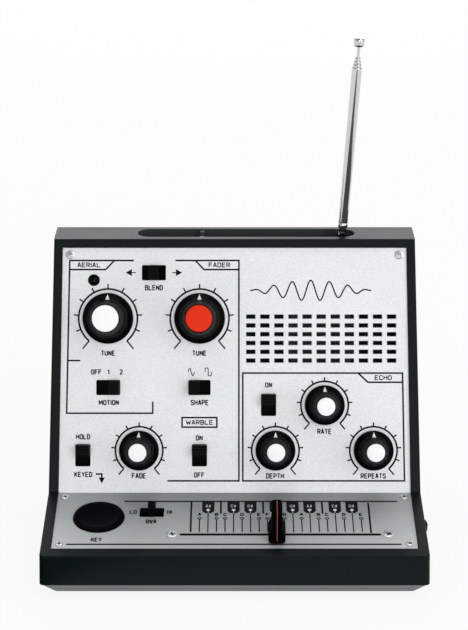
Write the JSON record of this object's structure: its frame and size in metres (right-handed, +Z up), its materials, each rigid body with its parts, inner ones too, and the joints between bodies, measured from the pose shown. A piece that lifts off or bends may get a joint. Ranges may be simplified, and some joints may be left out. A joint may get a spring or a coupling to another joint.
{
  "type": "theremin",
  "caption": "Desktop theremin with a sloping metal control panel in a dark plastic console, rotary knobs, slide switches, a long note slider, a round key and a folding telescopic antenna.",
  "frame": {"origin": "centre of the footprint, on the table under the rubber feet", "axes": "+X to the player's right, +Y to the back, +Z up"},
  "size_m": [0.1931, 0.1246, 0.2555],
  "materials": {
    "case_plastic": "satin, fine moulded grain",
    "tray_plastic": "satin",
    "panel_metal": "brushed satin",
    "screw_metal": "bright",
    "knob_plastic": "gloss",
    "white_plastic": "smooth",
    "red_plastic": "smooth",
    "lever_plastic": "satin",
    "switch_housing": "matte",
    "shaft_metal": "turned",
    "pot_metal": "satin",
    "antenna_chrome": "polished",
    "rubber": "matte",
    "lamp_lens": "clear gloss",
    "lamp_ring": "bright",
    "speaker_paper": "matte",
    "speaker_metal": "satin",
    "board_laminate": "satin",
    "cell_jacket": "gloss",
    "contact_metal": "bright",
    "socket_plastic": "matte"
  },
  "bodies": {
    "housing": {"case_shell": "case_plastic", "base_tray": "tray_plastic", "front_panel": "panel_metal", "panel_screws": "screw_metal", "rubber_feet": "rubber", "rotary_potentiometers": "pot_metal", "slide_switch_bodies": "switch_housing", "slider_track": "switch_housing", "trigger_switch": "switch_housing", "indicator_lens": "lamp_lens", "indicator_bezel": "lamp_ring", "speaker_frame": "speaker_metal", "speaker_cone": "speaker_paper", "main_board": "board_laminate", "slider_board": "board_laminate", "battery_cells": "cell_jacket", "battery_contacts": "contact_metal", "antenna_clip": "case_plastic", "volume_potentiometer": "switch_housing", "rear_sockets": "socket_plastic"},
    "antenna_tuning_control": {"antenna_tuning_knob": "knob_plastic", "antenna_tuning_cap": "white_plastic", "antenna_tuning_shaft": "shaft_metal"},
    "slide_tuning_control": {"slide_tuning_knob": "knob_plastic", "slide_tuning_cap": "red_plastic", "slide_tuning_shaft": "shaft_metal"},
    "decay_control": {"decay_knob": "knob_plastic", "decay_cap": "white_plastic", "decay_shaft": "shaft_metal"},
    "delay_time_control": {"delay_time_knob": "knob_plastic", "delay_time_cap": "white_plastic", "delay_time_shaft": "shaft_metal"},
    "delay_level_control": {"delay_level_knob": "knob_plastic", "delay_level_cap": "white_plastic", "delay_level_shaft": "shaft_metal"},
    "delay_feedback_control": {"delay_feedback_knob": "knob_plastic", "delay_feedback_cap": "white_plastic", "delay_feedback_shaft": "shaft_metal"},
    "blend_slide_lever": {"blend_switch_lever": "lever_plastic"},
    "modulation_slide_lever": {"modulation_switch_lever": "lever_plastic"},
    "waveform_slide_lever": {"waveform_switch_lever": "lever_plastic"},
    "drone_slide_lever": {"drone_switch_lever": "lever_plastic"},
    "vibrato_slide_lever": {"vibrato_switch_lever": "lever_plastic"},
    "delay_slide_lever": {"delay_switch_lever": "lever_plastic"},
    "octave_slide_lever": {"octave_switch_lever": "lever_plastic"},
    "note_slider": {"slider_carriage": "switch_housing", "slider_cap": "lever_plastic"},
    "trigger": {"trigger_key": "lever_plastic"},
    "volume": {"volume_wheel": "lever_plastic"},
    "antenna_base": {"antenna_swivel": "antenna_chrome", "antenna_pin": "antenna_chrome"},
    "antenna_mast": {"antenna_knuckle": "antenna_chrome", "antenna_tube": "antenna_chrome"},
    "antenna_second_stage": {"antenna_second_section": "antenna_chrome"},
    "antenna_third_stage": {"antenna_third_section": "antenna_chrome"},
    "antenna_fourth_stage": {"antenna_fourth_section": "antenna_chrome"},
    "antenna_end": {"antenna_rod": "antenna_chrome", "antenna_tip": "antenna_chrome"},
    "battery_cover": {"battery_door": "tray_plastic"}
  },
  "joints": [
    {"name": "antenna_tuning_turn", "type": "hinge", "parent": "housing", "child": "antenna_tuning_control", "pos_m": [-0.0648, 0.02567, 0.11464], "axis": [0, 0.9367, -0.3502], "range_deg": [-140, 140]},
    {"name": "slide_tuning_turn", "type": "hinge", "parent": "housing", "child": "slide_tuning_control", "pos_m": [-0.0179, 0.02567, 0.11464], "axis": [0, 0.9367, -0.3502], "range_deg": [-140, 140]},
    {"name": "decay_turn", "type": "hinge", "parent": "housing", "child": "decay_control", "pos_m": [-0.0489, 0.002, 0.05133], "axis": [0, 0.9367, -0.3502], "range_deg": [-140, 140]},
    {"name": "delay_time_turn", "type": "hinge", "parent": "housing", "child": "delay_time_control", "pos_m": [0.0461, 0.01012, 0.07306], "axis": [0, 0.9367, -0.3502], "range_deg": [-140, 140]},
    {"name": "delay_level_turn", "type": "hinge", "parent": "housing", "child": "delay_level_control", "pos_m": [0.0209, 0.002, 0.05133], "axis": [0, 0.9367, -0.3502], "range_deg": [-140, 140]},
    {"name": "delay_feedback_turn", "type": "hinge", "parent": "housing", "child": "delay_feedback_control", "pos_m": [0.0711, 0.002, 0.05133], "axis": [0, 0.9367, -0.3502], "range_deg": [-140, 140]},
    {"name": "blend_switch_slide", "type": "slide", "parent": "housing", "child": "blend_slide_lever", "axis": [1, 0, 0], "range_m": [-0.003, 0.003]},
    {"name": "modulation_switch_slide", "type": "slide", "parent": "housing", "child": "modulation_slide_lever", "axis": [1, 0, 0], "range_m": [-0.006, 0]},
    {"name": "waveform_switch_slide", "type": "slide", "parent": "housing", "child": "waveform_slide_lever", "axis": [1, 0, 0], "range_m": [0, 0.0052]},
    {"name": "drone_switch_slide", "type": "slide", "parent": "housing", "child": "drone_slide_lever", "axis": [0, 0.3502, 0.9367], "range_m": [-0.0052, 0]},
    {"name": "vibrato_switch_slide", "type": "slide", "parent": "housing", "child": "vibrato_slide_lever", "axis": [0, 0.3502, 0.9367], "range_m": [-0.0052, 0]},
    {"name": "delay_switch_slide", "type": "slide", "parent": "housing", "child": "delay_slide_lever", "axis": [0, 0.3502, 0.9367], "range_m": [-0.0052, 0]},
    {"name": "octave_switch_slide", "type": "slide", "parent": "housing", "child": "octave_slide_lever", "axis": [1, 0, 0], "range_m": [-0.0035, 0.0035]},
    {"name": "note_slide", "type": "slide", "parent": "housing", "child": "note_slider", "axis": [1, 0, 0], "range_m": [-0.046, 0.0496]},
    {"name": "trigger_press", "type": "slide", "parent": "housing", "child": "trigger", "axis": [0, 0.1564, -0.9877], "range_m": [0, 0.0016], "stiffness_N_per_m": 200, "springref_m": -0.001},
    {"name": "volume_turn", "type": "hinge", "parent": "housing", "child": "volume", "pos_m": [0.0894, -0.02434, 0.02145], "axis": [0, -0.1564, 0.9877], "range_deg": [-140, 140]},
    {"name": "antenna_swivel_turn", "type": "hinge", "parent": "housing", "child": "antenna_base", "pos_m": [0.0554, 0.0491, 0.151], "axis": [0, 0, 1], "range_deg": [0, 345]},
    {"name": "antenna_tilt", "type": "hinge", "parent": "antenna_base", "child": "antenna_mast", "pos_m": [0.0554, 0.0491, 0.151], "axis": [0, 1, 0], "range_deg": [-93.8, 30]},
    {"name": "antenna_second_slide", "type": "slide", "parent": "antenna_mast", "child": "antenna_second_stage", "axis": [0.0663, 0, 0.9978], "range_m": [0, 0.072]},
    {"name": "antenna_third_slide", "type": "slide", "parent": "antenna_second_stage", "child": "antenna_third_stage", "axis": [0.0663, 0, 0.9978], "range_m": [0, 0.072]},
    {"name": "antenna_fourth_slide", "type": "slide", "parent": "antenna_third_stage", "child": "antenna_fourth_stage", "axis": [0.0663, 0, 0.9978], "range_m": [0, 0.072]},
    {"name": "antenna_rod_slide", "type": "slide", "parent": "antenna_fourth_stage", "child": "antenna_end", "axis": [0.0663, 0, 0.9978], "range_m": [0, 0.07]},
    {"name": "battery_door_slide", "type": "slide", "parent": "housing", "child": "battery_cover", "axis": [0, 1, 0], "range_m": [0, 0.06]}
  ]
}
